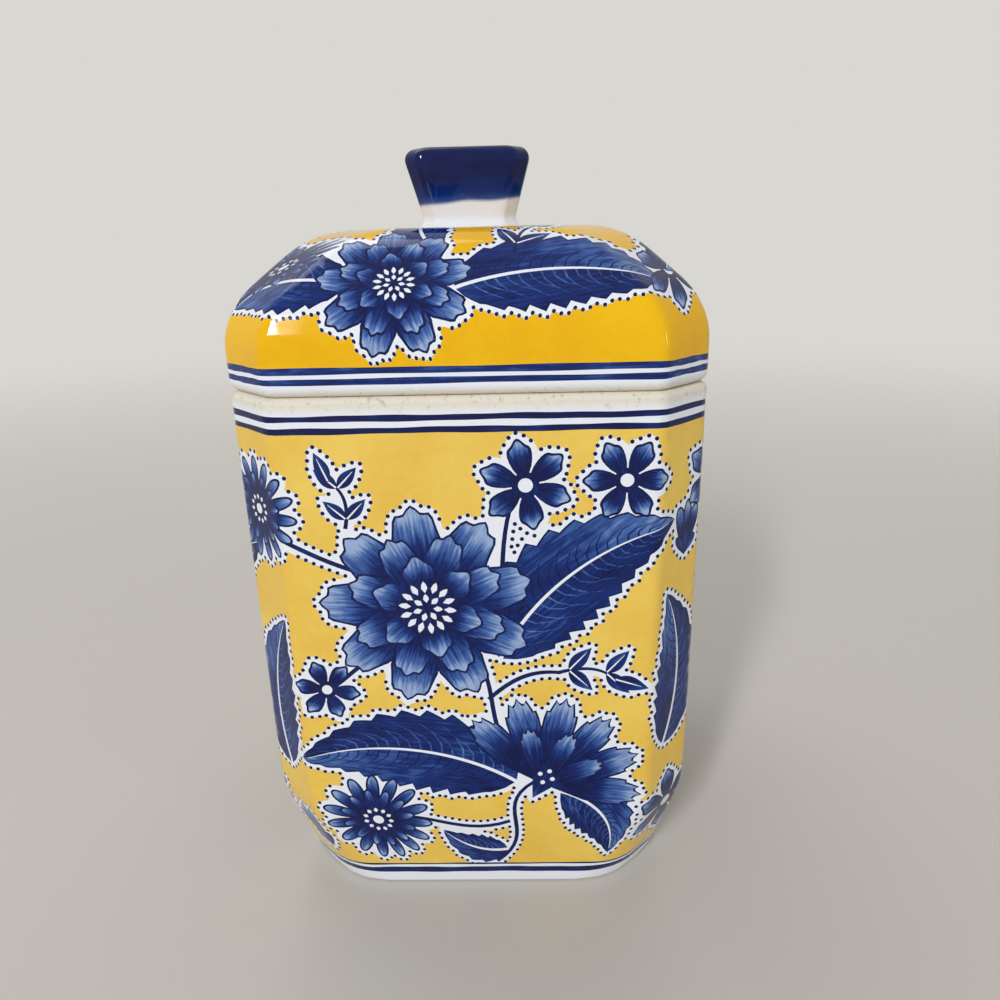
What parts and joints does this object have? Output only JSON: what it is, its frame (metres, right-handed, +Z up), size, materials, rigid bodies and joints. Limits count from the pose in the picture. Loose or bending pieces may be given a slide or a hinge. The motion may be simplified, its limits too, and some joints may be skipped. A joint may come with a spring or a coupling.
{
  "type": "ceramic canister",
  "caption": "Square glazed ceramic kitchen canister with cut corners, a tapered foot and a domed lift-off lid with a flared square knob; stores dry goods.",
  "frame": {"origin": "centre of the foot, on the surface that the jar stands on", "axes": "+Z up through the knob, +X and +Y square to the sides, -Y the side seen from the front"},
  "size_m": [0.136, 0.136, 0.2342],
  "materials": {
    "jar_glaze": "glossy yellow glaze over underglaze blue floral painting, white bands",
    "lid_glaze": "glossy golden yellow glaze over underglaze blue floral painting, white band",
    "flange_glaze": "clear glaze over white body",
    "knob_glaze": "glossy cobalt blue dip over white"
  },
  "bodies": {
    "jar": {"jar_body": "jar_glaze"},
    "lid": {"lid_shell": "lid_glaze", "lid_flange": "flange_glaze", "knob": "knob_glaze"}
  },
  "joints": [
    {"name": "lid_lift", "type": "slide", "parent": "jar", "child": "lid", "axis": [0, 0, 1], "range_m": [0, 0.15]}
  ]
}
